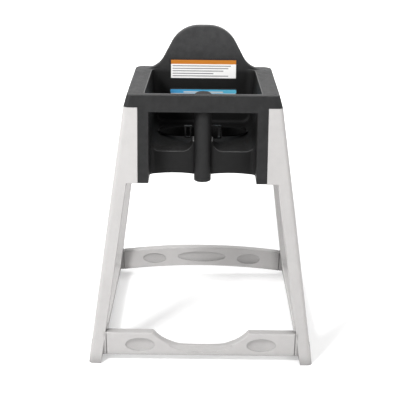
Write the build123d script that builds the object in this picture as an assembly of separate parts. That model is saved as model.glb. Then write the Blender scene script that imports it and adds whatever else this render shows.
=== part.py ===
from build123d import *
import os
from math import asin, cos, pi, radians, sin

# High chair with a moulded seat carried between two moulded side frames.
# Millimetres. +Z is up, the child faces -Y, and +X is the side on the right hand of someone
# who looks at the chair from the front. The origin is on the floor at the centre of the footprint.

os.makedirs("parts", exist_ok=True)

# ---------------------------------------------------------------- driving dimensions
FOOT_HALF_WIDTH = 292.0       # outer faces of the feet
FOOT_HALF_DEPTH = 280.0       # front and rear edges of the feet
EDGE_SLOPE = 0.185            # front and rear edges lean inwards by this much per mm of height
OUTER_LEAN = 0.142            # outer faces of the side frames lean inwards
INNER_LEAN = 0.1457           # inner faces of the legs lean inwards
LEG_WIDTH = 32.0              # leg, seen from the front, at the floor
LEG_DEPTH = 60.0              # leg, seen from the side
OUTER_EDGE_RADIUS = 11.0
FOOT_SHOULDER_X = 286.2       # top of the slightly wider foot
FOOT_SHOULDER_Z = 50.0
RAIL_HEIGHT = 58.0            # bottom rail that joins the two feet of a side frame
RAIL_ARCH = 7.0               # rise of the rail's underside between the feet
FOOT_LENGTH = 90.0            # length of each foot along the rail
OPENING_RADIUS = 22.0         # corners of the opening between the legs
BLOCK_BOTTOM = 470.0          # underside of the side frame's upper box
FRAME_TOP = 656.8             # top of the side frame, under the seat's rim
FRAME_INNER_X = 162.7         # face of the side frame that the seat is bolted to
FRAME_WALL = 5.0
SEAT_WALL = 4.0

SEAT_HALF_WIDTH = 162.5       # outer faces of the seat box between the side frames
SEAT_BOTTOM = 471.0
RIM_TOP = 688.0
RIM_LOW = 657.0
RIM_HALF_TOP = 189.5
RIM_HALF_LOW = 198.5
RIM_REAR_TOP = 178.0
RIM_REAR_LOW = 183.0
BAR_BOTTOM = 646.0
LEG_WINDOW_HALF = 135.5       # inner faces of the front posts
WELL_HALF_FRONT = 146.5       # half widths of the well at the rim
WELL_HALF_REAR = 142.5
WELL_FRONT = -138.0
WELL_REAR = 140.0
PAN_LIP_Y = -125.0            # front edge of the pan, at the top of the skirt
SKIRT_BOTTOM = 473.0
SKIRT_CORNER = 14.0           # the skirt meets the front posts in coves of this radius
SCOOP_FLOOR = 534.0
SCOOP_RADIUS = 27.0
LIP_RADIUS = 2.0              # rounding of the scoops' front lips
PAN_REAR_RADIUS = 10.0        # where the pan turns up into the back
RIDGE_TOP = 561.0
RIDGE_HALF_WIDTH = 25.5
RIDGE_END_TOP = -84.0         # the ridge's top ends here and slopes down behind the post
RIDGE_END_LOW = -56.0

BACK_TOP = 808.0
BACK_FLAT_HALF = 13.0         # flat at the very top of the back
BACK_CROWN_RADIUS = 85.0
BACK_LEAN = radians(28.4)     # the back's straight flanks, from vertical
BACK_FLARE_RADIUS = 60.0
BACK_FRONT = WELL_REAR
BACK_DEPTH = 22.0

POST_RADIUS = 21.8
POST_Y = -124.0
POST_BOTTOM = 457.0
POST_GAP = 0.2
POST_SCREW_HEIGHTS = (495.0, 530.0)

RUNG_END_X = 246.3
RUNG_DEPTH = 24.0
RUNG_FACE_INSET = 12.0        # the rungs stand this far behind the feet's front edges
FRONT_RUNG_Z = (18.5, 85.0)
REAR_RUNG_Z = (16.0, 79.5)
REAR_RUNG_RISE = 16.5
SEAM_WIDTH = 1.8              # shadow gap round each end of a rung
SEAM_DEPTH = 2.0
DISH_DEPTH = 9.0              # hollow ovals in the rungs' faces
SCALLOP_HALF = 124.0
SCALLOP_FLAT_HALF = 45.0
SCALLOP_FLOOR = 45.5

BOLT_RADIUS = 4.0             # M8
SEAT_BOLT_Y = 95.0
SEAT_BOLT_Z = 560.0
SEAT_BOLT_SEAT_X = 186.0      # washer seat inside the counterbore
RUNG_BOLT_SEAT_X = 270.0

WEBBING_WIDTH = 25.0
WEBBING_THICK = 1.6
BELT_Y = -45.0
BELT_Z = 562.5
SLOT_X = 118.0
SLOT_Y = 44.0
KEEPER_TOP = 528.0


# ---------------------------------------------------------------- helpers
def front_y(z):
    return -FOOT_HALF_DEPTH + EDGE_SLOPE * z


def outer_x(z):
    return FOOT_HALF_WIDTH - OUTER_LEAN * z


def leg_inner_x(z):
    return FOOT_HALF_WIDTH - LEG_WIDTH - INNER_LEAN * z


def prism_y(outline, y0, y1):
    """Extrude a closed (x, z) outline from y0 to y1."""
    wire = Polyline(*[(x, y0, z) for x, z in outline], close=True)
    return extrude(make_face(wire), amount=y1 - y0, dir=(0, 1, 0))


def prism_x(outline, x0, x1):
    """Extrude a closed (y, z) outline from x0 to x1."""
    wire = Polyline(*[(x0, y, z) for y, z in outline], close=True)
    return extrude(make_face(wire), amount=x1 - x0, dir=(1, 0, 0))


def block(x, y, z):
    """Box from three (low, high) pairs."""
    size = [high - low for low, high in (x, y, z)]
    centre = [(high + low) / 2 for low, high in (x, y, z)]
    return Pos(*centre) * Box(*size)


def rod_x(radius, x0, x1, y, z):
    return Pos((x0 + x1) / 2, y, z) * Rot(0, 90, 0) * Cylinder(radius, abs(x1 - x0))


def rod_y(radius, y0, y1, x, z):
    return Pos(x, (y0 + y1) / 2, z) * Rot(90, 0, 0) * Cylinder(radius, abs(y1 - y0))


def hex_x(across_flats, x0, x1, y, z):
    profile = RegularPolygon(across_flats / 2, 6, major_radius=False)
    return extrude(Plane((x0, y, z), x_dir=(0, 1, 0), z_dir=(1, 0, 0)) * profile, amount=x1 - x0)


def plan(half_front, half_rear, y_front, y_rear, radius_front, radius_rear, z):
    """Four-sided plan outline with rounded corners, as a face at height z."""
    corners = [(-half_front, y_front), (half_front, y_front), (half_rear, y_rear), (-half_rear, y_rear)]
    face = Sketch() + make_face(Polyline(*corners, close=True))
    face = fillet(face.vertices().group_by(Axis.Y)[0], radius_front)
    face = fillet(face.vertices().group_by(Axis.Y)[-1].sort_by(Axis.X)[0], radius_rear)
    rear = [v for v in face.vertices() if abs(v.Y - y_rear) < 1e-6 and v.X > half_rear - 1e-6]
    face = fillet(rear, radius_rear)
    return Pos(0, 0, z) * face


def mirrored(shape):
    return mirror(shape, about=Plane.YZ)


def edges_between(shape, z_low, z_high, keep):
    """Edges whose middle lies between two heights and passes the test keep(point)."""
    chosen = []
    for edge in shape.edges():
        middle = edge @ 0.5
        if z_low < middle.Z < z_high and keep(middle):
            chosen.append(edge)
    return chosen


def save(shape, name):
    export_step(shape, f"parts/{name}.step")


# ---------------------------------------------------------------- side frames
def side_outline(inset=0.0, low=0.0, high=FRAME_TOP):
    """Side elevation between two heights, as (y, z), with its edges moved in by inset."""
    return [
        (front_y(low) + inset, low),
        (front_y(high) + inset, high),
        (-front_y(high) - inset, high),
        (-front_y(low) - inset, low),
    ]


def right_side_frame():
    front_view = [
        (FOOT_HALF_WIDTH, 0),
        (FOOT_SHOULDER_X, FOOT_SHOULDER_Z),
        (outer_x(FOOT_SHOULDER_Z + 12), FOOT_SHOULDER_Z + 12),
        (outer_x(FRAME_TOP), FRAME_TOP),
        (FRAME_INNER_X, FRAME_TOP),
        (FRAME_INNER_X, BLOCK_BOTTOM),
        (leg_inner_x(BLOCK_BOTTOM), BLOCK_BOTTOM),
        (leg_inner_x(0), 0),
    ]
    body = prism_y(front_view, -FOOT_HALF_DEPTH, FOOT_HALF_DEPTH)
    body = body & prism_x(side_outline(), 100, 300)

    def on_front_or_rear(point):
        return abs(abs(point.Y) - abs(front_y(point.Z))) < 0.5

    def on_outer_edge(point):
        return point.X > outer_x(point.Z) - 3 and on_front_or_rear(point)

    body = fillet(edges_between(body, 1, FRAME_TOP - 1, on_outer_edge), OUTER_EDGE_RADIUS)

    # opening between the legs, above the bottom rail and below the upper box
    low = RAIL_HEIGHT
    high = BLOCK_BOTTOM
    opening = prism_x(
        [
            (front_y(low) + LEG_DEPTH, low),
            (front_y(high) + LEG_DEPTH, high),
            (-front_y(high) - LEG_DEPTH, high),
            (-front_y(low) - LEG_DEPTH, low),
        ],
        150,
        310,
    )
    opening = fillet(opening.edges().filter_by(Axis.X), OPENING_RADIUS)
    body -= opening

    # the rail's underside is raised between the feet
    foot_end = FOOT_HALF_DEPTH - FOOT_LENGTH
    body -= prism_x(
        [(-foot_end, -1), (-foot_end + 20, RAIL_ARCH), (foot_end - 20, RAIL_ARCH), (foot_end, -1)], 150, 310
    )

    # upper box, hollow and open towards the seat
    skin = FRAME_WALL
    cavity_low = BLOCK_BOTTOM + skin
    cavity_high = FRAME_TOP - skin
    cavity = prism_y(
        [
            (FRAME_INNER_X - 1, cavity_low),
            (outer_x(cavity_low) - skin, cavity_low),
            (outer_x(cavity_high) - skin, cavity_high),
            (FRAME_INNER_X - 1, cavity_high),
        ],
        -FOOT_HALF_DEPTH,
        FOOT_HALF_DEPTH,
    )
    cavity = cavity & prism_x(side_outline(skin + 6, cavity_low, cavity_high), 100, 300)
    for rib_y in (-48, 0, 48):
        cavity -= block((FRAME_INNER_X, 300), (rib_y - 2, rib_y + 2), (cavity_low, cavity_high))
    body -= cavity
    for y in (-SEAT_BOLT_Y, SEAT_BOLT_Y):
        body += rod_x(15.0, FRAME_INNER_X, outer_x(SEAT_BOLT_Z) - 2, y, SEAT_BOLT_Z)

    # stubs that meet the rungs, each with a pocket for the rung's spigot
    for rung_y, (rung_low, rung_high) in ((-1, FRONT_RUNG_Z), (1, REAR_RUNG_Z)):
        y = rung_y * (FOOT_HALF_DEPTH - RUNG_FACE_INSET - RUNG_DEPTH / 2)
        stub = prism_y(
            [
                (RUNG_END_X + 0.3, rung_low),
                (leg_inner_x(rung_low) + 1, rung_low),
                (leg_inner_x(rung_high) + 1, rung_high),
                (RUNG_END_X + 0.3, rung_high),
            ],
            y - RUNG_DEPTH / 2,
            y + RUNG_DEPTH / 2,
        )
        body += fillet(stub.edges().filter_by(Axis.X), 4.0)
        middle = (rung_low + rung_high) / 2
        half = (rung_high - rung_low) / 2 - 9.7
        body -= block((RUNG_END_X - 1, RUNG_END_X + 13), (y - 7.3, y + 7.3), (middle - half, middle + half))
        body -= rod_x(4.4, RUNG_END_X, 300, y, middle)
        body -= rod_x(10.0, RUNG_BOLT_SEAT_X, 300, y, middle)

    for y in (-SEAT_BOLT_Y, SEAT_BOLT_Y):
        body -= rod_x(4.4, 150, 300, y, SEAT_BOLT_Z)
        body -= rod_x(11.0, SEAT_BOLT_SEAT_X, 300, y, SEAT_BOLT_Z)
    return body


# ---------------------------------------------------------------- rungs
def dished_ovals(y, ovals):
    """Shallow ellipsoids centred on a rung's face, for ovals given as (x, z, half width, half height)."""
    dishes = []
    for x, z, half_width, half_height in ovals:
        dishes.append(Pos(x, y, z) * scale(Sphere(1), by=(half_width, DISH_DEPTH, half_height)))
    return dishes


def rung_ends(y, low, high):
    """Spigots that key the rung into the side frames, and the bores for its inserts and bolts."""
    middle = (low + high) / 2
    half = (high - low) / 2 - 10
    spigot = block((RUNG_END_X - 1, RUNG_END_X + 12), (y - 7, y + 7), (middle - half, middle + half))
    bolt_bore = rod_x(4.4, RUNG_END_X - 35, RUNG_END_X + 13, y, middle)
    insert_bore = rod_x(6.0, RUNG_END_X - 28, RUNG_END_X - 4, y, middle)
    return spigot, bolt_bore + insert_bore


def finish_rung(rung, y, low, high, ovals):
    for face_y in (y - RUNG_DEPTH / 2, y + RUNG_DEPTH / 2):
        for dish in dished_ovals(face_y, ovals):
            rung -= dish
    core_y = (y - RUNG_DEPTH / 2 + SEAM_DEPTH, y + RUNG_DEPTH / 2 - SEAM_DEPTH)
    seam_x = (RUNG_END_X - SEAM_WIDTH, RUNG_END_X + 1)
    seam = block(seam_x, (y - RUNG_DEPTH, y + RUNG_DEPTH), (low - 20, high + 20))
    seam -= block(seam_x, core_y, (low + SEAM_DEPTH, high - SEAM_DEPTH))
    for cut in (seam, mirrored(seam)):
        rung -= cut
    spigot, bores = rung_ends(y, low, high)
    for end in (spigot, mirrored(spigot)):
        rung += end
    for bore in (bores, mirrored(bores)):
        rung -= bore
    return rung


def front_rung():
    low, high = FRONT_RUNG_Z
    y = -(FOOT_HALF_DEPTH - RUNG_FACE_INSET - RUNG_DEPTH / 2)
    run = SCALLOP_HALF - SCALLOP_FLAT_HALF
    rise = high - SCALLOP_FLOOR
    radius = (run * run + rise * rise) / (2 * rise)
    mid_angle = asin(run / radius) / 2
    mid_x = SCALLOP_FLAT_HALF + radius * sin(mid_angle)
    mid_z = SCALLOP_FLOOR + radius * (1 - cos(mid_angle))
    y0 = y - RUNG_DEPTH / 2
    left_arc = ThreePointArc(
        (-SCALLOP_HALF, y0, high), (-mid_x, y0, mid_z), (-SCALLOP_FLAT_HALF, y0, SCALLOP_FLOOR)
    )
    right_arc = ThreePointArc(
        (SCALLOP_FLAT_HALF, y0, SCALLOP_FLOOR), (mid_x, y0, mid_z), (SCALLOP_HALF, y0, high)
    )
    top_left = Line((-RUNG_END_X, y0, high), left_arc @ 0)
    floor = Line(left_arc @ 1, right_arc @ 0)
    around = Polyline(
        right_arc @ 1, (RUNG_END_X, y0, high), (RUNG_END_X, y0, low), (-RUNG_END_X, y0, low), top_left @ 0
    )
    outline = Wire([top_left, left_arc, floor, right_arc] + list(around.edges()))
    rung = extrude(make_face(outline), amount=RUNG_DEPTH, dir=(0, 1, 0))

    def on_top_or_bottom(point):
        return abs(abs(point.Y - y) - RUNG_DEPTH / 2) < 0.01 and abs(point.X) < RUNG_END_X - 1

    rung = fillet(edges_between(rung, low - 1, high + 1, on_top_or_bottom), 4.0)
    ovals = [(-158, 50, 38, 19.5), (158, 50, 38, 19.5), (0, 50, 82, 22)]
    return finish_rung(rung, y, low, high, ovals)


def rear_rung():
    low, high = REAR_RUNG_Z
    y = FOOT_HALF_DEPTH - RUNG_FACE_INSET - RUNG_DEPTH / 2
    y0 = y - RUNG_DEPTH / 2
    top = ThreePointArc((-RUNG_END_X, y0, high), (0, y0, high + REAR_RUNG_RISE), (RUNG_END_X, y0, high))
    bottom = ThreePointArc((RUNG_END_X, y0, low), (0, y0, low + REAR_RUNG_RISE), (-RUNG_END_X, y0, low))
    outline = Wire([top, Line(top @ 1, bottom @ 0), bottom, Line(bottom @ 1, top @ 0)])
    rung = extrude(make_face(outline), amount=RUNG_DEPTH, dir=(0, 1, 0))

    def on_top_or_bottom(point):
        return abs(abs(point.Y - y) - RUNG_DEPTH / 2) < 0.01 and abs(point.X) < RUNG_END_X - 1

    rung = fillet(edges_between(rung, low - 1, high + REAR_RUNG_RISE + 1, on_top_or_bottom), 4.0)
    ovals = [(-148, 57, 36, 17), (148, 57, 36, 17), (0, 64, 75, 17)]
    return finish_rung(rung, y, low, high, ovals)


# ---------------------------------------------------------------- seat
def rim_skin():
    outer = loft([
        plan(RIM_HALF_LOW, RIM_HALF_LOW, front_y(RIM_LOW), RIM_REAR_LOW, 14, 26, RIM_LOW),
        plan(RIM_HALF_TOP, RIM_HALF_TOP, front_y(RIM_TOP), RIM_REAR_TOP, 12, 24, RIM_TOP),
    ])
    outer = fillet(outer.edges().group_by(Axis.Z)[-1], 3.5)
    skin = SEAT_WALL
    inner = loft([
        plan(RIM_HALF_LOW - skin, RIM_HALF_LOW - skin, front_y(RIM_LOW) + skin, RIM_REAR_LOW - skin,
             10, 22, RIM_LOW - 1),
        plan(RIM_HALF_TOP - skin, RIM_HALF_TOP - skin, front_y(RIM_TOP) + skin, RIM_REAR_TOP - skin,
             8, 20, RIM_TOP - skin),
    ])
    return outer - inner


def box_skin():
    """Outer skin of the seat between the side frames, open at the bottom."""
    outer = prism_x(side_outline(0, SEAT_BOTTOM, RIM_TOP - 2), -SEAT_HALF_WIDTH, SEAT_HALF_WIDTH)
    inside = SEAT_HALF_WIDTH - SEAT_WALL
    inner = prism_x(side_outline(SEAT_WALL, SEAT_BOTTOM - 5, RIM_TOP), -inside, inside)
    return outer - inner


def well(grow):
    """The well's cavity, or with grow its outside."""
    low = RIDGE_TOP - 1
    top = RIM_TOP + (0 if grow else 2)
    return loft([
        plan(LEG_WINDOW_HALF + grow, LEG_WINDOW_HALF + grow, WELL_FRONT - grow, WELL_REAR + grow,
             8 + grow, 24 + grow, low),
        plan(WELL_HALF_FRONT + grow, WELL_HALF_REAR + grow, WELL_FRONT - grow, WELL_REAR + grow,
             8 + grow, 24 + grow, top),
    ])


def ridge():
    """Ridge between the leg scoops: flat top, concave flanks, and a sloped rear end behind the post."""
    front = PAN_LIP_Y - 1
    spread = RIDGE_HALF_WIDTH + SCOOP_RADIUS
    body = block((-spread, spread), (front, 0), (SCOOP_FLOOR - 1, RIDGE_TOP))
    for side in (-1, 1):
        body -= rod_y(SCOOP_RADIUS, front - 1, 1, side * spread, RIDGE_TOP)
    slope = prism_x(
        [(front, SCOOP_FLOOR - 1), (front, RIDGE_TOP + 1), (RIDGE_END_TOP, RIDGE_TOP + 1),
         (RIDGE_END_LOW, SCOOP_FLOOR - 1)],
        -spread,
        spread,
    )
    return body & slope


def scoops(grow):
    """Lower part of the well: two leg scoops with a ridge between them, or with grow its outside."""
    floor = SCOOP_FLOOR - grow
    half = LEG_WINDOW_HALF + grow
    radius = SCOOP_RADIUS + grow
    front = PAN_LIP_Y - (0 if grow else 40)
    rear = WELL_REAR + grow
    body = block((-half, half), (front, rear), (floor, RIDGE_TOP + 10))
    long_edges = [edge for edge in body.edges().filter_by(Axis.Y) if edge.center().Z < floor + 1]
    body = fillet(long_edges, radius)
    back_edges = edges_between(body, floor - 1, RIDGE_TOP + 9, lambda point: point.Y > rear - 0.01)
    body = fillet(back_edges, PAN_REAR_RADIUS + grow)
    if grow:
        return body
    return body - ridge()


def skirt():
    """Wall below the pan's front lip, with two shallow arches in its bottom edge."""
    half = LEG_WINDOW_HALF + SEAT_WALL
    wall = block((-half, half), (PAN_LIP_Y, PAN_LIP_Y + SEAT_WALL), (SKIRT_BOTTOM, RIDGE_TOP))
    arch_half = 50.0
    arch_rise = 3.0
    arch_radius = (arch_half ** 2 + arch_rise ** 2) / (2 * arch_rise)
    for x in (-72, 72):
        wall -= rod_y(arch_radius, PAN_LIP_Y - 5, PAN_LIP_Y + 10, x, SKIRT_BOTTOM + arch_rise - arch_radius)
    corner = SKIRT_CORNER
    for side in (-1, 1):
        x = side * LEG_WINDOW_HALF
        fill = block(sorted((x, x - side * corner)), (PAN_LIP_Y - corner, PAN_LIP_Y), (SKIRT_BOTTOM, RIDGE_TOP - 1))
        fill -= Pos(x - side * corner, PAN_LIP_Y - corner, (SKIRT_BOTTOM + RIDGE_TOP) / 2) * Cylinder(corner, 200)
        wall += fill
    return wall


def post_side_walls():
    """Inner faces of the two front posts, running back to the skirt."""
    walls = prism_x(side_outline(0, SEAT_BOTTOM, RIDGE_TOP + 100), LEG_WINDOW_HALF, LEG_WINDOW_HALF + SEAT_WALL)
    walls = walls & block((0, 200), (-300, PAN_LIP_Y + 10), (400, 700))
    return walls + mirrored(walls)


def back_outline(inset):
    """Bell-shaped back: flat crown, crown arcs, straight flanks and concave flares, as a wire at y = 0."""
    top = BACK_TOP - inset
    crown = BACK_CROWN_RADIUS - inset
    centre_x = BACK_FLAT_HALF
    centre_z = BACK_TOP - BACK_CROWN_RADIUS

    def on_crown(angle):
        return (centre_x + crown * sin(angle), 0, centre_z + crown * cos(angle))

    flare = BACK_FLARE_RADIUS + inset
    end_angle = pi / 2 - BACK_LEAN
    flank_top = on_crown(end_angle)
    base = RIM_TOP - 3
    flare_high = RIM_TOP + BACK_FLARE_RADIUS
    flare_z = flare_high - flare * sin(BACK_LEAN)
    drop = flank_top[2] - flare_z
    flank_low = (flank_top[0] + drop * sin(BACK_LEAN) / cos(BACK_LEAN), 0, flare_z)
    flare_x = flank_low[0] + flare * cos(BACK_LEAN)
    middle = (pi / 2 + BACK_LEAN) / 2
    flare_mid = (flare_x - flare * cos(middle), 0, flare_high - flare * sin(middle))
    flare_end = (flare_x, 0, flare_high - flare)
    half = [
        Line((0, 0, top), (centre_x, 0, top)),
        ThreePointArc((centre_x, 0, top), on_crown(end_angle / 2), flank_top),
        Line(flank_top, flank_low),
        ThreePointArc(flank_low, flare_mid, flare_end),
        Line(flare_end, (flare_x, 0, base - 8)),
        Line((flare_x, 0, base - 8), (0, 0, base - 8)),
        Line((0, 0, base - 8), (0, 0, top)),
    ]
    return make_face(Wire(half))


def back():
    half = extrude(back_outline(0), amount=BACK_DEPTH, dir=(0, 1, 0))
    whole = Pos(0, BACK_FRONT, 0) * (half + mirrored(half))

    def on_rolled_edge(point):
        return abs(point.Y - BACK_FRONT) < 0.01 or abs(point.Y - BACK_FRONT - BACK_DEPTH) < 0.01

    whole = fillet(edges_between(whole, RIM_TOP + 2, BACK_TOP + 1, on_rolled_edge), 4.0)
    pocket = extrude(back_outline(5), amount=BACK_DEPTH, dir=(0, 1, 0))
    return whole - Pos(0, BACK_FRONT + 4.5, 0) * (pocket + mirrored(pocket))


def seat_shell():
    body = rim_skin() + box_skin()
    body += well(SEAT_WALL)
    body += scoops(SEAT_WALL)
    body -= well(0)
    body -= scoops(0)
    # legs pass under the front bar, over the pan's lip
    body -= block((-LEG_WINDOW_HALF, LEG_WINDOW_HALF), (-240, PAN_LIP_Y), (400, BAR_BOTTOM))
    body += skirt() - scoops(0) - well(0)
    body += post_side_walls() - well(0)
    body += back()

    # half-round socket for the crotch post, open to the front, with a flat back for its screws
    socket = Pos(0, POST_Y, (SKIRT_BOTTOM + RIDGE_TOP) / 2) * Cylinder(
        POST_RADIUS + POST_GAP + SEAT_WALL, RIDGE_TOP - SKIRT_BOTTOM)
    body += socket & block((-40, 40), (PAN_LIP_Y, 0), (400, RIDGE_TOP))
    body -= block((-16, 16), (POST_Y + POST_RADIUS + 4.2, -84), (SEAT_BOTTOM, RIDGE_TOP - 2 * SEAT_WALL))
    body -= Pos(0, POST_Y, 580) * Cylinder(POST_RADIUS + POST_GAP, 300)
    for z in POST_SCREW_HEIGHTS:
        body -= rod_y(2.7, POST_Y, -90, 0, z)

    # bolt holes in the side skins, belt slots in the pan
    for side in (-1, 1):
        for y in (-SEAT_BOLT_Y, SEAT_BOLT_Y):
            body -= rod_x(4.4, side * 150, side * 170, y, SEAT_BOLT_Z)
        x = side * SLOT_X
        body -= block((x - 2.5, x + 2.5), (SLOT_Y - 15, SLOT_Y + 15), (515, 560))

    def on_lip(point):
        across = PAN_LIP_Y - SKIRT_CORNER - 0.1 < point.Y < PAN_LIP_Y + 0.1
        return across and abs(point.X) < LEG_WINDOW_HALF + 0.1

    lip = edges_between(body, SCOOP_FLOOR - 1, RIDGE_TOP - 1.5, on_lip)
    return fillet([edge for edge in lip if abs((edge % 0.5).Z) < 0.99], LIP_RADIUS)


# ---------------------------------------------------------------- crotch post and fasteners
def crotch_post():
    height = RIM_TOP - POST_BOTTOM
    post = Pos(0, POST_Y, POST_BOTTOM + height / 2) * Cylinder(POST_RADIUS, height)
    post = fillet(post.edges().group_by(Axis.Z)[-1], 8.0)
    post = fillet(post.edges().group_by(Axis.Z)[0], 2.0)
    for z in POST_SCREW_HEIGHTS:
        post -= rod_y(2.1, POST_Y - 2, POST_Y + POST_RADIUS + 1, 0, z)
    return post


def post_screws():
    seat_y = POST_Y + POST_RADIUS + 4.2
    screws = []
    for z in POST_SCREW_HEIGHTS:
        shank = rod_y(2.05, POST_Y - 1, seat_y + 1, 0, z)
        screws.append(shank + rod_y(4.5, seat_y, seat_y + 3.2, 0, z))
    return screws


def m8_bolt(seat_x, end_x, y, z):
    """Hex bolt along X with its head outwards of seat_x."""
    shank = rod_x(BOLT_RADIUS, end_x, seat_x + 1, y, z)
    return shank + hex_x(13.0, seat_x, seat_x + 5.5, y, z)


def ring_x(outer, inner, x0, x1, y, z):
    return rod_x(outer, x0, x1, y, z) - rod_x(inner, x0 - 1, x1 + 1, y, z)


def both_sides(shapes):
    return shapes + [mirrored(shape) for shape in shapes]


def rung_bolt_places():
    y = FOOT_HALF_DEPTH - RUNG_FACE_INSET - RUNG_DEPTH / 2
    return [(-y, sum(FRONT_RUNG_Z) / 2), (y, sum(REAR_RUNG_Z) / 2)]


def save_fasteners():
    washer = 1.6
    seat_places = [(-SEAT_BOLT_Y, SEAT_BOLT_Z), (SEAT_BOLT_Y, SEAT_BOLT_Z)]
    nut_face = SEAT_HALF_WIDTH - SEAT_WALL
    seat_bolts = [m8_bolt(SEAT_BOLT_SEAT_X + washer, 146, y, z) for y, z in seat_places]
    seat_washers = [
        ring_x(8.0, 4.2, SEAT_BOLT_SEAT_X, SEAT_BOLT_SEAT_X + washer, y, z) for y, z in seat_places]
    seat_nuts = [
        hex_x(13.0, nut_face - 6.5, nut_face, y, z) - rod_x(4.05, 140, 160, y, z) for y, z in seat_places]
    rung_bolts = [m8_bolt(RUNG_BOLT_SEAT_X + washer, RUNG_END_X - 30, y, z) for y, z in rung_bolt_places()]
    rung_washers = [
        ring_x(8.0, 4.2, RUNG_BOLT_SEAT_X, RUNG_BOLT_SEAT_X + washer, y, z) for y, z in rung_bolt_places()]
    rung_inserts = [
        ring_x(5.95, 4.05, RUNG_END_X - 27.5, RUNG_END_X - 4.5, y, z) for y, z in rung_bolt_places()]
    save(Compound(both_sides(seat_bolts)), "seat_bolts")
    save(Compound(both_sides(seat_washers)), "seat_washers")
    save(Compound(both_sides(seat_nuts)), "seat_nuts")
    save(Compound(both_sides(rung_bolts)), "rung_bolts")
    save(Compound(both_sides(rung_washers)), "rung_washers")
    save(Compound(both_sides(rung_inserts)), "rung_inserts")
    save(Compound(post_screws()), "post_screws")


# ---------------------------------------------------------------- labels
def label(half_width, z_low, z_high):
    plate = block((-half_width, half_width), (BACK_FRONT - 0.6, BACK_FRONT - 0.05), (z_low, z_high))
    return fillet(plate.edges().filter_by(Axis.Y), 3.0)


# ---------------------------------------------------------------- waist belt
TONGUE_X = -1.0               # end of the tongue's base, where the prongs start
SOCKET_X = (1.0, 49.0)
PRONG_TIP_X = 30.5


def strap(path, twists):
    """Webbing as a ruled loft along a path. Its width turns from lying along Y (0) to upright (1)."""
    sections = []
    for index, (point, twist) in enumerate(zip(path, twists)):
        before = Vector(path[max(index - 1, 0)])
        after = Vector(path[min(index + 1, len(path) - 1)])
        tangent = (after - before).normalized()
        wanted = Vector(0, cos(pi / 2 * twist), sin(pi / 2 * twist))
        width_dir = (wanted - tangent * wanted.dot(tangent)).normalized()
        plane = Plane(origin=point, x_dir=width_dir, z_dir=tangent)
        sections.append(plane * Rectangle(WEBBING_WIDTH, WEBBING_THICK))
    return loft(sections, ruled=True)


STRAP_PATH = [                # left half, from under the pan to the belt's straight middle
    (-SLOT_X, SLOT_Y, KEEPER_TOP + 0.3),
    (-SLOT_X, SLOT_Y, 539),
    (-113, 41, 543),
    (-104, 32, 543.5),
    (-92, 14, 547.5),
    (-79, -10, 553.5),
    (-68, -30, 559),
    (-58, -42, BELT_Z - 0.5),
    (-52, BELT_Y, BELT_Z),
]
STRAP_TWISTS = [0, 0, 0, 0.06, 0.22, 0.46, 0.76, 0.96, 1, 1]


def left_strap():
    return strap(STRAP_PATH + [(TONGUE_X - 20, BELT_Y, BELT_Z)], STRAP_TWISTS)


def right_strap():
    path = STRAP_PATH + [(-SOCKET_X[1] - 2, BELT_Y, BELT_Z)]
    return mirrored(strap(path, STRAP_TWISTS))


def strap_keepers():
    """Bars under the pan, wider than the slots, that the straps are looped round."""
    keepers = []
    for side in (-1, 1):
        x = side * SLOT_X
        keepers.append(block((x - 7, x + 7), (SLOT_Y - 19, SLOT_Y + 19), (KEEPER_TOP - 3, KEEPER_TOP)))
    return Compound(keepers)


def strap_adjuster():
    """Offset three-bar slide: outer bars in front of the webbing, centre bar behind it."""
    x0, x1 = -48.0, -30.0
    rails = []
    for side in (-1, 1):
        z = sorted((BELT_Z + side * 13.3, BELT_Z + side * 16.3))
        rails.append(block((x0, x1), (BELT_Y - 3, BELT_Y + 3), z))
    body = rails[0] + rails[1]
    for x in (x0, x1 - 4):
        body += block((x, x + 4), (BELT_Y - 3, BELT_Y - 1.2), (BELT_Z - 14, BELT_Z + 14))
    body += block((-41, -37), (BELT_Y + 1.2, BELT_Y + 3), (BELT_Z - 14, BELT_Z + 14))
    return body


def buckle_tongue():
    base = block((TONGUE_X - 19, TONGUE_X), (BELT_Y - 4, BELT_Y + 4), (BELT_Z - 15, BELT_Z + 15))
    base = fillet(base.edges().filter_by(Axis.Y), 2.0)
    base -= block((TONGUE_X - 16, TONGUE_X - 10.5), (BELT_Y - 6, BELT_Y + 6), (BELT_Z - 13.3, BELT_Z + 13.3))
    spine = block((TONGUE_X - 1, TONGUE_X + 22), (BELT_Y - 2, BELT_Y + 2), (BELT_Z - 2, BELT_Z + 2))
    return base + spine


def upper_prong():
    """Flexing arm with a barbed release pad that fills the socket's side window."""
    arm = prism_y(
        [
            (TONGUE_X + 0.4, BELT_Z + 7.5),
            (PRONG_TIP_X, BELT_Z + 8.5),
            (PRONG_TIP_X, BELT_Z + 12.0),
            (PRONG_TIP_X - 3.5, BELT_Z + 16.5),
            (PRONG_TIP_X - 11.5, BELT_Z + 17.0),
            (PRONG_TIP_X - 11.5, BELT_Z + 11.5),
            (TONGUE_X + 0.4, BELT_Z + 11.0),
        ],
        BELT_Y - 2.6,
        BELT_Y + 2.6,
    )
    return arm


def lower_prong():
    return Pos(0, 0, 2 * BELT_Z) * mirror(upper_prong(), about=Plane.XY)


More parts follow.
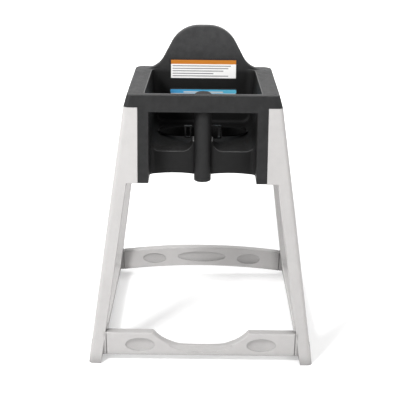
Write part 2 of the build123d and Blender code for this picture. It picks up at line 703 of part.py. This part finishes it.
def buckle_socket():
    x0, x1 = SOCKET_X
    body = block((x0, x1), (BELT_Y - 6, BELT_Y + 6), (BELT_Z - 17.5, BELT_Z + 17.5))
    body = fillet(body.edges().filter_by(Axis.Y), 4.0)
    body = fillet(body.edges().filter_by(Axis.X), 2.0)
    body -= block((x0 - 1, x0 + 32), (BELT_Y - 4, BELT_Y + 4), (BELT_Z - 14.4, BELT_Z + 14.4))
    body -= block((x0 + 17.5, x0 + 30.5), (BELT_Y - 3.2, BELT_Y + 3.2), (BELT_Z - 20, BELT_Z + 20))
    body -= block((x1 - 9.5, x1 - 3.5), (BELT_Y - 8, BELT_Y + 8), (BELT_Z - 13.3, BELT_Z + 13.3))
    for x in (x1 - 16, x1 - 14, x1 - 12):
        body -= block((x, x + 0.9), (BELT_Y - 7, BELT_Y - 5.4), (BELT_Z - 14, BELT_Z + 14))
    return body


# ---------------------------------------------------------------- export
frame = right_side_frame()
save(frame, "right_side_frame")
save(mirrored(frame), "left_side_frame")
save(front_rung(), "front_rung")
save(rear_rung(), "rear_rung")
save(seat_shell(), "seat_shell")
save(crotch_post(), "crotch_post")
save_fasteners()
save(label(93.0, 659.5, 716.0), "upper_label")
save(label(94.0, 580.0, 633.0), "lower_label")
save(left_strap(), "left_strap")
save(right_strap(), "right_strap")
save(strap_keepers(), "strap_keepers")
save(strap_adjuster(), "strap_adjuster")
save(buckle_tongue(), "buckle_tongue")
save(upper_prong(), "upper_prong")
save(lower_prong(), "lower_prong")
save(buckle_socket(), "buckle_socket")
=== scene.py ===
from math import cos, pi, radians, sin

import bmesh
import bpy
from mathutils import Euler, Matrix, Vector


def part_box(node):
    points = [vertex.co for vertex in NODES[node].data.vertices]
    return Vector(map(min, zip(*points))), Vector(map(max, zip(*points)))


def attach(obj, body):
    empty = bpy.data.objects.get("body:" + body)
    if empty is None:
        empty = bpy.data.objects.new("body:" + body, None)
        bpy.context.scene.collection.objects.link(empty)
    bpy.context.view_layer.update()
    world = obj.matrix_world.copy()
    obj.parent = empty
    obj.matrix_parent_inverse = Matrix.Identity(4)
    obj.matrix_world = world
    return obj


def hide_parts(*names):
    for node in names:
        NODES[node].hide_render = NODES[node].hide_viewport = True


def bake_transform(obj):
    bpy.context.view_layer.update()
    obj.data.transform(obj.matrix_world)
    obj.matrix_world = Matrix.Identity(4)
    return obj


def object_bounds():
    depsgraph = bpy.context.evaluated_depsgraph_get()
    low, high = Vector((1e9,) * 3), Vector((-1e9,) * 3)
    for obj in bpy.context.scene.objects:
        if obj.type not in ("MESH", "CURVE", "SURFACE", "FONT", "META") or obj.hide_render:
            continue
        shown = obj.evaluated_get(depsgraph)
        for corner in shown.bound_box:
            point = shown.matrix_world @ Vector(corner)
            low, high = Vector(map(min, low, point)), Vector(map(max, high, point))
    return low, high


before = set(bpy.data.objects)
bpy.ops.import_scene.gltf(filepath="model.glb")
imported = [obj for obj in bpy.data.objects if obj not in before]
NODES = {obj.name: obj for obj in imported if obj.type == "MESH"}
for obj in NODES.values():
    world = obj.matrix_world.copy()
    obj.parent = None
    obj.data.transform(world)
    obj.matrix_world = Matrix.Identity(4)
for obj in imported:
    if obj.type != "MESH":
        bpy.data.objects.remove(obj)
CAD_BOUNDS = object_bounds()

# Camera: where the photographer stood, in metres and degrees.
CAMERA_PLACE = (0.0, -2.193, 1.211)
CAMERA_PITCH = 21.4
CAMERA_YAW = 0.155
CAMERA_ROLL = 0.55
CAMERA_LENS = 76.5
SENSOR = 36.0

# Studio air: brightness in front of the chair and round the rest of the horizon, and the share overhead.
FRONT_AIR = 0.28
HORIZON_AIR = 1.12
OVERHEAD_SHARE = 0.35

# Seat: painted shade inside the well and painted light low on the back and on the back's crown, and the
# stretch in metres over which each change happens.
WELL_PAINTED_SHADE = 0.45
LOW_BACK_PAINTED_LIGHT = 1.9
CROWN_PAINTED_LIGHT = 1.35
FRONT_TO_WELL_Y = (-0.152, -0.124)
WELL_TO_RIM_Z = (0.672, 0.686)
WELL_TO_BACK_Y = (0.10, 0.139)
BACK_TO_CROWN_Z = (0.695, 0.75)

# Painted highlight on upward-facing moulded edges, within this reach.
EDGE_HIGHLIGHT_REACH = 0.003

# Belt: 25 mm webbing.
WEBBING_WIDTH = 0.025
WEBBING_THICK = 0.0016
STRAIGHT_X = 0.055            # the belt is straight and upright within this distance of the middle
YARN_PITCH = 0.0014
RIB_PITCH = 0.0016
SLOT_RISE = 0.010             # the belt stands upright in its slot up to this height over the keepers
STEPS_PER_SPAN = 8            # rows of webbing between two points of the belt's path

# Labels: widths of the dark borders, heights of the coloured heads, and how far ink stands off the film.
UPPER_BORDER = 0.0028
UPPER_HEAD = 0.0115
UPPER_CORNER = 0.0008
RULE_INDENT = 0.004
RULE_SHARES = (0.94, 0.90, 0.82, 0.66, 0.90)
LOWER_BORDER = 0.0016
LOWER_HEAD = 0.0110
LOWER_CORNER = 0.0035
BAND_INDENT_SHARE = 0.20
BAND_LOW = 0.0092
BAND_HIGH = 0.0055
INK_LIFT = 0.0001
INK_THICK = 0.00006


# ---------------------------------------------------------------- small helpers
def mid(box):
    low, high = box
    return (low + high) / 2


def new_object(name, mesh):
    obj = bpy.data.objects.new(name, mesh)
    bpy.context.scene.collection.objects.link(obj)
    return obj


def mesh_object(name, bm, smooth=True):
    mesh = bpy.data.meshes.new(name)
    bmesh.ops.recalc_face_normals(bm, faces=bm.faces)
    for face in bm.faces:
        face.smooth = smooth
    bm.to_mesh(mesh)
    bm.free()
    return new_object(name, mesh)


# ---------------------------------------------------------------- material building
class Nodes:
    """A material's node tree, with short calls for adding and linking nodes."""

    def __init__(self, name):
        self.material = bpy.data.materials.new(name)
        self.material.use_nodes = True
        self.tree = self.material.node_tree
        self.tree.nodes.clear()
        self.shader = self.add("ShaderNodeBsdfPrincipled")
        output = self.add("ShaderNodeOutputMaterial")
        self.link(self.shader.outputs["BSDF"], output.inputs["Surface"])

    def add(self, kind, **settings):
        node = self.tree.nodes.new(kind)
        for key, value in settings.items():
            setattr(node, key, value)
        return node

    def link(self, source, target):
        self.tree.links.new(source, target)

    def place(self, uv=False):
        coords = self.add("ShaderNodeTexCoord")
        return coords.outputs["UV" if uv else "Object"]

    def noise(self, where, scale, detail=3.0, roughness=0.55):
        node = self.add("ShaderNodeTexNoise")
        node.inputs["Scale"].default_value = scale
        node.inputs["Detail"].default_value = detail
        node.inputs["Roughness"].default_value = roughness
        self.link(where, node.inputs["Vector"])
        return node.outputs["Fac"]

    def spread(self, value, low, high, to_low=0.0, to_high=1.0):
        node = self.add("ShaderNodeMapRange")
        node.inputs["From Min"].default_value = low
        node.inputs["From Max"].default_value = high
        node.inputs["To Min"].default_value = to_low
        node.inputs["To Max"].default_value = to_high
        self.link(value, node.inputs["Value"])
        return node.outputs["Result"]

    def math(self, operation, first, second=None, third=None):
        node = self.add("ShaderNodeMath", operation=operation)
        for socket, value in zip(node.inputs, (first, second, third)):
            if value is None:
                continue
            if isinstance(value, (int, float)):
                socket.default_value = value
            else:
                self.link(value, socket)
        return node.outputs["Value"]

    def mix(self, factor, first, second):
        node = self.add("ShaderNodeMix", data_type="RGBA")
        colours = [socket for socket in node.inputs if socket.type == "RGBA"]
        for socket, value in ((node.inputs[0], factor), (colours[0], first), (colours[1], second)):
            if isinstance(value, (int, float)):
                socket.default_value = value
            elif isinstance(value, tuple):
                socket.default_value = (*value, 1.0)
            else:
                self.link(value, socket)
        return next(socket for socket in node.outputs if socket.type == "RGBA")

    def bump(self, height, distance, strength=1.0, normal=None):
        node = self.add("ShaderNodeBump")
        node.inputs["Distance"].default_value = distance
        node.inputs["Strength"].default_value = strength
        self.link(height, node.inputs["Height"])
        if normal is not None:
            self.link(normal, node.inputs["Normal"])
        return node.outputs["Normal"]

    def soft_edges(self, radius):
        node = self.add("ShaderNodeBevel", samples=6)
        node.inputs["Radius"].default_value = radius
        return node.outputs["Normal"]

    def edge_mask(self, soft_normal):
        """1 on convex and concave edges, 0 on open faces."""
        geometry = self.add("ShaderNodeNewGeometry")
        dot = self.add("ShaderNodeVectorMath", operation="DOT_PRODUCT")
        self.link(soft_normal, dot.inputs[0])
        self.link(geometry.outputs["True Normal"], dot.inputs[1])
        return self.spread(dot.outputs["Value"], 0.995, 0.80)

    def painted_edge_highlights(self, reach):
        """1 on convex edges that face upwards, 0 on open faces: the mask for a painted highlight."""
        inside = self.add("ShaderNodeAmbientOcclusion", samples=6, inside=True)
        inside.inputs["Distance"].default_value = reach
        geometry = self.add("ShaderNodeNewGeometry")
        split = self.add("ShaderNodeSeparateXYZ")
        self.link(geometry.outputs["True Normal"], split.inputs["Vector"])
        upwards = self.spread(split.outputs["Z"], 0.22, 0.60)
        return self.math("MULTIPLY", upwards, self.spread(inside.outputs["AO"], 0.93, 0.70))

    def openness(self, distance, closed, darkest):
        """1 on open faces, falling to darkest where less than the closed share of the air is open; it darkens
        the colour as painted shade.
        """
        node = self.add("ShaderNodeAmbientOcclusion", samples=6)
        node.inputs["Distance"].default_value = distance
        return self.spread(node.outputs["AO"], closed, 0.95, darkest, 1.0)

    def scaled(self, colour, factor):
        node = self.add("ShaderNodeVectorMath", operation="SCALE")
        self.link(colour, node.inputs[0])
        self.link(factor, node.inputs["Scale"])
        return node.outputs["Vector"]

    def socket(self, name, value):
        self.shader.inputs[name].default_value = value


def seat_painted_light(n, where):
    """Painted shade inside the well, and painted light low on the back and on the back's crown."""
    split = n.add("ShaderNodeSeparateXYZ")
    n.link(where, split.inputs["Vector"])
    inside = n.spread(split.outputs["Y"], *FRONT_TO_WELL_Y, 1.0, WELL_PAINTED_SHADE)
    above = n.spread(split.outputs["Z"], *WELL_TO_RIM_Z)
    well = n.math("MAXIMUM", inside, above)
    back = n.spread(split.outputs["Y"], *WELL_TO_BACK_Y, 1.0, LOW_BACK_PAINTED_LIGHT)
    crown = n.spread(split.outputs["Z"], *BACK_TO_CROWN_Z, 1.0, CROWN_PAINTED_LIGHT)
    return n.math("MULTIPLY", well, n.math("MULTIPLY", back, crown))


def moulded_plastic(name, colours, edge_highlight_colour, roughness, specular, grain, edge_radius, recess, fade=None):
    """Spark-textured moulded plastic: fine grain, faint flow marks, painted shade in recesses and painted
    highlights on upward-facing edges.

    colours are the main, the pale and the dark one, grain is its scale and depth, and recess is
    what Nodes.openness takes.
    """
    colour, pale, dark = colours
    grain_scale, grain_depth = grain
    n = Nodes(name)
    where = n.place()
    flow = n.spread(n.noise(where, 9.0, 4.0), 0.3, 0.7)
    cloud = n.spread(n.noise(where, 55.0, 5.0, 0.6), 0.35, 0.65)
    speck = n.spread(n.noise(where, grain_scale, 2.0, 0.6), 0.3, 0.7)
    soft = n.soft_edges(edge_radius)
    edges = n.painted_edge_highlights(EDGE_HIGHLIGHT_REACH)
    base = n.mix(n.math("MULTIPLY", flow, 0.5), colour, dark)
    base = n.mix(n.math("MULTIPLY", cloud, 0.22), base, pale)
    base = n.mix(n.math("MULTIPLY", speck, 0.18), base, pale)
    # painted highlight: a lighter colour laid on upward-facing convex edges
    edge_highlight = n.math("MULTIPLY", edges, n.spread(cloud, 0.0, 1.0, 0.5, 0.9))
    # painted shade: colour darkened where ambient occlusion finds the surface closed in, times the seat's
    # painted well shade and back light
    air = n.openness(*recess)
    tone = n.math("MULTIPLY", air, fade(n, where)) if fade else air
    n.link(n.mix(edge_highlight, n.scaled(base, tone), edge_highlight_colour), n.shader.inputs["Base Color"])
    gloss = n.spread(n.math("ADD", n.math("MULTIPLY", cloud, 0.6), n.math("MULTIPLY", speck, 0.4)),
                     0.0, 1.0, roughness - 0.06, roughness + 0.08)
    n.link(n.math("ADD", gloss, n.spread(air, 0.5, 1.0, 0.25, 0.0)), n.shader.inputs["Roughness"])
    ripple = n.bump(flow, 0.0006, 0.25, soft)
    n.link(n.bump(speck, grain_depth, 0.6, ripple), n.shader.inputs["Normal"])
    n.socket("IOR", 1.5)
    n.socket("Specular IOR Level", specular)
    return n.material


def webbing_material():
    """Woven belt: rows of slanted yarn in the strap's own length and width coordinates."""
    n = Nodes("webbing_weave")
    uv = n.add("ShaderNodeSeparateXYZ")
    n.link(n.place(uv=True), uv.inputs["Vector"])
    along, across = uv.outputs["X"], uv.outputs["Y"]
    slant = n.math("ADD", along, n.math("PINGPONG", across, RIB_PITCH))
    yarn = n.math("SINE", n.math("MULTIPLY", slant, 2 * pi / YARN_PITCH))
    rib = n.math("SINE", n.math("MULTIPLY", across, 2 * pi / RIB_PITCH))
    height = n.math("ADD", n.math("MULTIPLY", yarn, 0.5), n.math("MULTIPLY", rib, 0.5))
    fuzz = n.noise(n.place(), 1800.0, 2.0)
    shade = n.spread(n.math("ADD", height, n.math("MULTIPLY", fuzz, 0.6)), -0.8, 1.3)
    n.link(n.mix(shade, (0.0012, 0.0012, 0.0013), (0.006, 0.006, 0.0063)), n.shader.inputs["Base Color"])
    n.link(n.spread(fuzz, 0.3, 0.7, 0.78, 0.92), n.shader.inputs["Roughness"])
    n.link(n.bump(shade, 0.0004, 0.8), n.shader.inputs["Normal"])
    n.socket("Specular IOR Level", 0.12)
    return n.material


def buckle_plastic(name, highlight_colour, specular, upright_highlight_share, edge_radius):
    """Moulded acetal with a fine haze, and painted highlights on its edges, strongest where they face up or
    down.
    """
    n = Nodes(name)
    where = n.place()
    soft = n.soft_edges(edge_radius)
    edges = n.edge_mask(soft)
    haze = n.spread(n.noise(where, 260.0, 4.0), 0.3, 0.7)
    speck = n.noise(where, 3000.0, 2.0)
    split = n.add("ShaderNodeSeparateXYZ")
    n.link(n.add("ShaderNodeNewGeometry").outputs["True Normal"], split.inputs["Vector"])
    level = n.spread(n.math("ABSOLUTE", split.outputs["Z"]), 0.3, 0.8, upright_highlight_share, 1.0)
    # painted highlight along the edges, weaker on upright faces
    edge_highlight = n.math("MULTIPLY", n.math("MULTIPLY", edges, level), n.spread(haze, 0.2, 0.8, 0.35, 0.8))
    base = n.mix(haze, (0.004, 0.004, 0.0043), (0.009, 0.009, 0.0095))
    n.link(n.mix(edge_highlight, base, highlight_colour), n.shader.inputs["Base Color"])
    n.link(n.spread(haze, 0.0, 1.0, 0.24, 0.36), n.shader.inputs["Roughness"])
    n.link(n.bump(speck, 0.0001, 0.4, soft), n.shader.inputs["Normal"])
    n.socket("Specular IOR Level", specular)
    return n.material


def plated_steel():
    n = Nodes("zinc_plate")
    where = n.place()
    spangle = n.add("ShaderNodeTexVoronoi")
    spangle.inputs["Scale"].default_value = 420.0
    n.link(where, spangle.inputs["Vector"])
    shade = n.spread(spangle.outputs["Distance"], 0.0, 0.8)
    haze = n.spread(n.noise(where, 120.0, 4.0), 0.3, 0.7)
    base = n.mix(shade, (0.52, 0.53, 0.55), (0.70, 0.70, 0.69))
    n.link(n.mix(n.math("MULTIPLY", haze, 0.3), base, (0.40, 0.40, 0.38)), n.shader.inputs["Base Color"])
    n.link(n.spread(haze, 0.0, 1.0, 0.28, 0.48), n.shader.inputs["Roughness"])
    n.link(n.bump(shade, 0.0001, 0.3, n.soft_edges(0.0006)), n.shader.inputs["Normal"])
    n.socket("Metallic", 1.0)
    return n.material


def brass_material():
    n = Nodes("turned_brass")
    where = n.place()
    rings = n.add("ShaderNodeTexWave", bands_direction="X")
    rings.inputs["Scale"].default_value = 300.0
    n.link(where, rings.inputs["Vector"])
    haze = n.spread(n.noise(where, 200.0, 4.0), 0.3, 0.7)
    n.link(n.mix(haze, (0.62, 0.44, 0.20), (0.50, 0.34, 0.15)), n.shader.inputs["Base Color"])
    n.link(n.spread(haze, 0.0, 1.0, 0.25, 0.42), n.shader.inputs["Roughness"])
    n.link(n.bump(rings.outputs["Fac"], 0.0002, 0.6), n.shader.inputs["Normal"])
    n.socket("Metallic", 1.0)
    return n.material


def printed_film(name, left, right, x_low, x_high):
    """Printed label film: ink that changes from left to right, with fine screen grain and a glossy coat."""
    n = Nodes(name)
    where = n.place()
    split = n.add("ShaderNodeSeparateXYZ")
    n.link(where, split.inputs["Vector"])
    fade = n.spread(split.outputs["X"], x_low, x_high)
    grain = n.spread(n.noise(where, 1600.0, 2.0), 0.3, 0.7)
    ink = n.mix(fade, left, right)
    shaded = tuple(channel * 0.82 for channel in left)
    n.link(n.mix(n.math("MULTIPLY", grain, 0.16), ink, shaded), n.shader.inputs["Base Color"])
    n.link(n.spread(grain, 0.0, 1.0, 0.30, 0.38), n.shader.inputs["Roughness"])
    wave = n.noise(where, 30.0, 2.0)
    n.link(n.bump(wave, 0.0006, 0.3), n.shader.inputs["Normal"])
    return n.material


def floor_material():
    n = Nodes("studio_floor")
    where = n.place()
    cloud = n.noise(where, 1.3, 3.0)
    n.link(n.mix(cloud, (0.82, 0.82, 0.82), (0.85, 0.85, 0.85)), n.shader.inputs["Base Color"])
    n.socket("Emission Color", (1.0, 1.0, 1.0, 1.0))
    n.socket("Emission Strength", 0.26)
    n.link(n.spread(cloud, 0.2, 0.8, 0.75, 0.9), n.shader.inputs["Roughness"])
    return n.material


def dress(obj, material):
    obj.data.materials.clear()
    obj.data.materials.append(material)


# ---------------------------------------------------------------- camera, lights and floor
def make_camera():
    data = bpy.data.cameras.new("photo_view")
    data.lens = CAMERA_LENS
    data.sensor_width = SENSOR
    camera = new_object("photo_view", data)
    camera.location = CAMERA_PLACE
    pitch = Euler((radians(90 - CAMERA_PITCH), 0, 0)).to_matrix()
    yaw = Euler((0, 0, radians(CAMERA_YAW))).to_matrix()
    roll = Euler((0, 0, radians(CAMERA_ROLL))).to_matrix()
    camera.rotation_euler = (yaw @ pitch @ roll).to_euler()
    bpy.context.scene.camera = camera


def area_light(name, place, target, size, power, colour=(1.0, 1.0, 1.0)):
    data = bpy.data.lights.new(name, "AREA")
    data.shape = "RECTANGLE"
    data.size, data.size_y = size
    data.energy = power
    data.color = colour
    light = new_object(name, data)
    light.location = place
    light.rotation_euler = (Vector(target) - Vector(place)).to_track_quat("-Z", "Y").to_euler()


def make_world():
    """White air near the horizon at the sides and behind, dim in front of the chair and overhead."""
    world = bpy.data.worlds.new("studio_air")
    world.use_nodes = True
    tree = world.node_tree
    background = tree.nodes["Background"]
    coords = tree.nodes.new("ShaderNodeTexCoord")
    split = tree.nodes.new("ShaderNodeSeparateXYZ")
    tree.links.new(coords.outputs["Generated"], split.inputs["Vector"])

    def ramp(axis, start, end, low, high):
        node = tree.nodes.new("ShaderNodeMapRange")
        node.interpolation_type = "SMOOTHSTEP"
        node.inputs["From Min"].default_value = start
        node.inputs["From Max"].default_value = end
        node.inputs["To Min"].default_value = low
        node.inputs["To Max"].default_value = high
        tree.links.new(split.outputs[axis], node.inputs["Value"])
        return node.outputs["Result"]

    product = tree.nodes.new("ShaderNodeMath")
    product.operation = "MULTIPLY"
    tree.links.new(ramp("Y", -0.95, -0.35, FRONT_AIR, HORIZON_AIR), product.inputs[0])
    tree.links.new(ramp("Z", 0.35, 0.85, 1.0, OVERHEAD_SHARE), product.inputs[1])
    tree.links.new(product.outputs["Value"], background.inputs["Strength"])
    background.inputs["Color"].default_value = (1.0, 1.0, 1.0, 1.0)
    bpy.context.scene.world = world


def make_studio():
    make_world()
    area_light("softbox_key", (-1.15, -1.45, 1.95), (0, 0, 0.45), (0.5, 0.5), 49)
    area_light("softbox_fill", (1.9, -2.4, 1.3), (0, 0, 0.4), (1.3, 1.3), 17)
    area_light("softbox_overhead", (0, 1.0, 2.7), (0, 0, 0.3), (2.6, 1.8), 34)
    area_light("backdrop_wash", (0, 2.4, 2.6), (0, 6.5, 0), (7.0, 1.5), 320)
    bm = bmesh.new()
    bmesh.ops.create_grid(bm, x_segments=4, y_segments=4, size=9.0)
    floor = mesh_object("studio_floor", bm)
    floor.location.z = CAD_BOUNDS[0][2]
    dress(floor, floor_material())
    scene = bpy.context.scene
    scene.view_settings.view_transform = "Standard"
    scene.view_settings.look = "None"


# ---------------------------------------------------------------- belt
def smooth_path(points, steps):
    """Catmull-Rom curve through the points, with the given number of steps between each pair."""
    result = []
    for index in range(len(points) - 1):
        before = points[max(index - 1, 0)]
        start, end = points[index], points[index + 1]
        after = points[min(index + 2, len(points) - 1)]
        for step in range(steps):
            t = step / steps
            result.append(0.5 * (
                2 * start + (end - before) * t
                + (2 * before - 5 * start + 4 * end - after) * t * t
                + (3 * start - before - 3 * end + after) * t * t * t))
    result.append(points[-1])
    return result


def strap_mesh(name, path, twists):
    """Webbing with rolled edges, swept along a path while its width turns from along Y to upright."""
    half = WEBBING_WIDTH / 2
    thick = WEBBING_THICK / 2
    columns = 12
    ring = []
    for column in range(columns + 1):
        s = -1 + 2 * column / columns
        ring.append((s * half, thick * (1 - 0.45 * abs(s) ** 8)))
    ring += [(x, -y) for x, y in reversed(ring)]
    bm = bmesh.new()
    uv_layer = bm.loops.layers.uv.new("length_width")
    rows = []
    travelled = [0.0]
    for index, point in enumerate(path):
        before = path[max(index - 1, 0)]
        after = path[min(index + 1, len(path) - 1)]
        tangent = (after - before).normalized()
        angle = pi / 2 * twists[index]
        wanted = Vector((0, cos(angle), sin(angle)))
        width = (wanted - tangent * wanted.dot(tangent)).normalized()
        out = tangent.cross(width)
        rows.append([bm.verts.new(point + width * a + out * b) for a, b in ring])
        if index:
            travelled.append(travelled[-1] + (point - path[index - 1]).length)
    count = len(ring)
    for index in range(len(rows) - 1):
        for k in range(count):
            following = (k + 1) % count
            corners = (rows[index][k], rows[index][following], rows[index + 1][following], rows[index + 1][k])
            face = bm.faces.new(corners)
            places = ((index, k), (index, following), (index + 1, following), (index + 1, k))
            for loop, (row, column) in zip(face.loops, places):
                loop[uv_layer].uv = (travelled[row], ring[column][0])
    bm.faces.new(rows[0])
    bm.faces.new(reversed(rows[-1]))
    return mesh_object(name, bm)


def belt_path(side, end_x):
    """Half of the belt: out of the pan's slot, round to the buckle's line, and along it to end_x."""
    keeper_low, keeper_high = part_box("strap_keepers")
    slot_x = keeper_high.x - 0.007
    slot_y = (keeper_low.y + keeper_high.y) / 2
    belt = mid(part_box("buckle_socket"))
    bottom = keeper_high.z + 0.0005
    # shares of the way from the slot to the belt's line, along the pan and upwards
    ease = (0.0, 0.05, 0.15, 0.30, 0.50, 0.72, 0.92, 1.0)
    rise = (0.0, 0.14, 0.20, 0.30, 0.48, 0.70, 0.92, 1.0)
    points = [Vector((side * slot_x, slot_y, bottom + up)) for up in (0.0, 0.8 * SLOT_RISE)]
    start = Vector((side * slot_x, slot_y, bottom + SLOT_RISE))
    end = Vector((side * STRAIGHT_X, belt.y, belt.z))
    for forward, up in zip(ease, rise):
        points.append(Vector((
            start.x + (end.x - start.x) * forward,
            start.y + (end.y - start.y) * forward,
            start.z + (end.z - start.z) * up)))
    points.append(Vector((end_x, belt.y, belt.z)))
    return points


def make_straps():
    _, socket_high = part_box("buckle_socket")
    tongue_low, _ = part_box("buckle_tongue")
    material = webbing_material()
    for name, side, end_x in (("left", -1, tongue_low.x - 0.001), ("right", 1, socket_high.x + 0.001)):
        points = belt_path(side, end_x)
        path = smooth_path(points, STEPS_PER_SPAN)
        reach = abs(path[0].x) - STRAIGHT_X
        shares = [(abs(path[0].x) - abs(point.x)) / reach for point in path]
        twists = [min(max(share, 0.0), 1.0) ** 1.8 for share in shares]
        strap = strap_mesh(f"{name}_webbing", path, twists)
        dress(strap, material)
        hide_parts(f"{name}_strap")
        if side < 0:
            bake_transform(strap)
        else:
            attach(strap, "chair")


# ---------------------------------------------------------------- labels
def rounded_plate(name, low, high, radius, thickness):
    """Thin plate facing -Y with rounded corners; low and high are its corners, and low.y its front."""
    bm = bmesh.new()
    outline = []
    steps = 6
    corners = (
        (high.x - radius, high.z - radius, 0.0),
        (low.x + radius, high.z - radius, pi / 2),
        (low.x + radius, low.z + radius, pi),
        (high.x - radius, low.z + radius, 1.5 * pi),
    )
    for cx, cz, start in corners:
        for step in range(steps + 1):
            angle = start + pi / 2 * step / steps
            outline.append((cx + radius * cos(angle), cz + radius * sin(angle)))
    front = [bm.verts.new((x, low.y, z)) for x, z in outline]
    back = [bm.verts.new((x, low.y + thickness, z)) for x, z in outline]
    bm.faces.new(front)
    bm.faces.new(reversed(back))
    for k in range(len(outline)):
        following = (k + 1) % len(outline)
        bm.faces.new((front[k], front[following], back[following], back[k]))
    return mesh_object(name, bm, smooth=False)


def add_film(node, radius, material):
    """The label's film, in place of its CAD plate."""
    low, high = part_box(node)
    film = rounded_plate(f"{node}_film", low, high, radius, high.y - low.y)
    dress(film, material)
    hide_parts(node)
    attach(film, "chair")


def add_print(node, name, area, radius, material, layer=1):
    """A patch of ink on a label; area is its left, right, bottom and top, and layer counts from the film."""
    left, right, bottom, top = area
    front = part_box(node)[0].y - layer * INK_LIFT
    patch = rounded_plate(f"{node}_{name}", Vector((left, front, bottom)), Vector((right, front, top)),
                          radius, INK_THICK)
    dress(patch, material)
    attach(patch, "chair")


def make_upper_label():
    node = "upper_label"
    low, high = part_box(node)
    span = (low.x, high.x)
    black = printed_film("ink_black", (0.012, 0.012, 0.012), (0.014, 0.014, 0.014), *span)
    white = printed_film("ink_white", (0.93, 0.93, 0.92), (0.95, 0.95, 0.94), *span)
    orange = printed_film("ink_orange", (0.57, 0.19, 0.014), (0.60, 0.21, 0.018), *span)
    grey = printed_film("ink_grey", (0.22, 0.22, 0.23), (0.24, 0.24, 0.25), *span)
    left, bottom = low.x + UPPER_BORDER, low.z + UPPER_BORDER
    right, top = high.x - UPPER_BORDER, high.z - UPPER_BORDER
    split = top - UPPER_HEAD
    add_film(node, 0.003, black)
    add_print(node, "body", (left, right, bottom, split), UPPER_CORNER, white)
    add_print(node, "header", (left, right, split, top), UPPER_CORNER, orange)
    # plain rules where a printed label has its lines
    pitch = (split - bottom) / (len(RULE_SHARES) + 0.6)
    rule_left = left + RULE_INDENT
    full = right - left - 2 * RULE_INDENT
    for row, share in enumerate(RULE_SHARES):
        rule_top = split - pitch * (row + 0.55)
        area = (rule_left, rule_left + full * share, rule_top - pitch * 0.36, rule_top)
        add_print(node, f"rule_{row}", area, 0.0006, grey, layer=2)


def make_lower_label():
    node = "lower_label"
    low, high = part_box(node)
    span = (low.x, high.x)
    blue = printed_film("ink_blue", (0.045, 0.30, 0.60), (0.13, 0.58, 0.80), *span)
    pale = printed_film("ink_pale", (0.62, 0.66, 0.68), (0.66, 0.70, 0.72), *span)
    dark = printed_film("ink_dark", (0.014, 0.016, 0.018), (0.016, 0.018, 0.02), *span)
    left, bottom = low.x + LOWER_BORDER, low.z + LOWER_BORDER
    right, top = high.x - LOWER_BORDER, high.z - 2 * LOWER_BORDER
    split = top - LOWER_HEAD
    add_film(node, 0.005, dark)
    add_print(node, "head", (left, right, split, top), LOWER_CORNER, blue)
    add_print(node, "body", (left, right, bottom, split), LOWER_CORNER, pale)
    # plain band where a printed label has its title
    indent = BAND_INDENT_SHARE * (right - left)
    area = (left + indent, right - indent, top - BAND_LOW, top - BAND_HIGH)
    add_print(node, "band", area, 0.0012, pale, layer=2)


# ---------------------------------------------------------------- materials on the CAD parts
def dress_parts():
    seat = moulded_plastic(
        "charcoal_moulding",
        colours=((0.0172, 0.0172, 0.0176), (0.040, 0.040, 0.0405), (0.0121, 0.0121, 0.0125)),
        edge_highlight_colour=(0.23, 0.23, 0.231), roughness=0.40, specular=0.18, grain=(900.0, 0.00035),
        edge_radius=0.0016, recess=(0.22, 0.45, 0.18), fade=seat_painted_light)
    light = moulded_plastic(
        "light_grey_moulding",
        colours=((0.445, 0.434, 0.429), (0.517, 0.504, 0.499), (0.393, 0.382, 0.377)),
        edge_highlight_colour=(0.62, 0.61, 0.60), roughness=0.50, specular=0.42, grain=(700.0, 0.0003),
        edge_radius=0.0022, recess=(0.035, 0.60, 0.62))
    for node in ("seat_shell", "crotch_post"):
        dress(NODES[node], seat)
    for node in ("left_side_frame", "right_side_frame", "front_rung", "rear_rung"):
        dress(NODES[node], light)
    steel = plated_steel()
    for node in ("seat_bolts", "seat_washers", "seat_nuts", "rung_bolts", "rung_washers", "post_screws"):
        dress(NODES[node], steel)
    dress(NODES["rung_inserts"], brass_material())
    acetal = buckle_plastic("buckle_acetal", (0.03, 0.03, 0.03), 0.14, upright_highlight_share=1.0, edge_radius=0.0008)
    for node in ("buckle_tongue", "upper_prong", "lower_prong", "buckle_socket", "strap_keepers"):
        dress(NODES[node], acetal)
    # the slider's top and bottom edges get a strong painted highlight
    slider = buckle_plastic("slider_acetal", (0.85, 0.85, 0.85), 0.3, upright_highlight_share=0.08, edge_radius=0.0014)
    dress(NODES["strap_adjuster"], slider)


make_camera()
make_studio()
dress_parts()
make_straps()
make_upper_label()
make_lower_label()
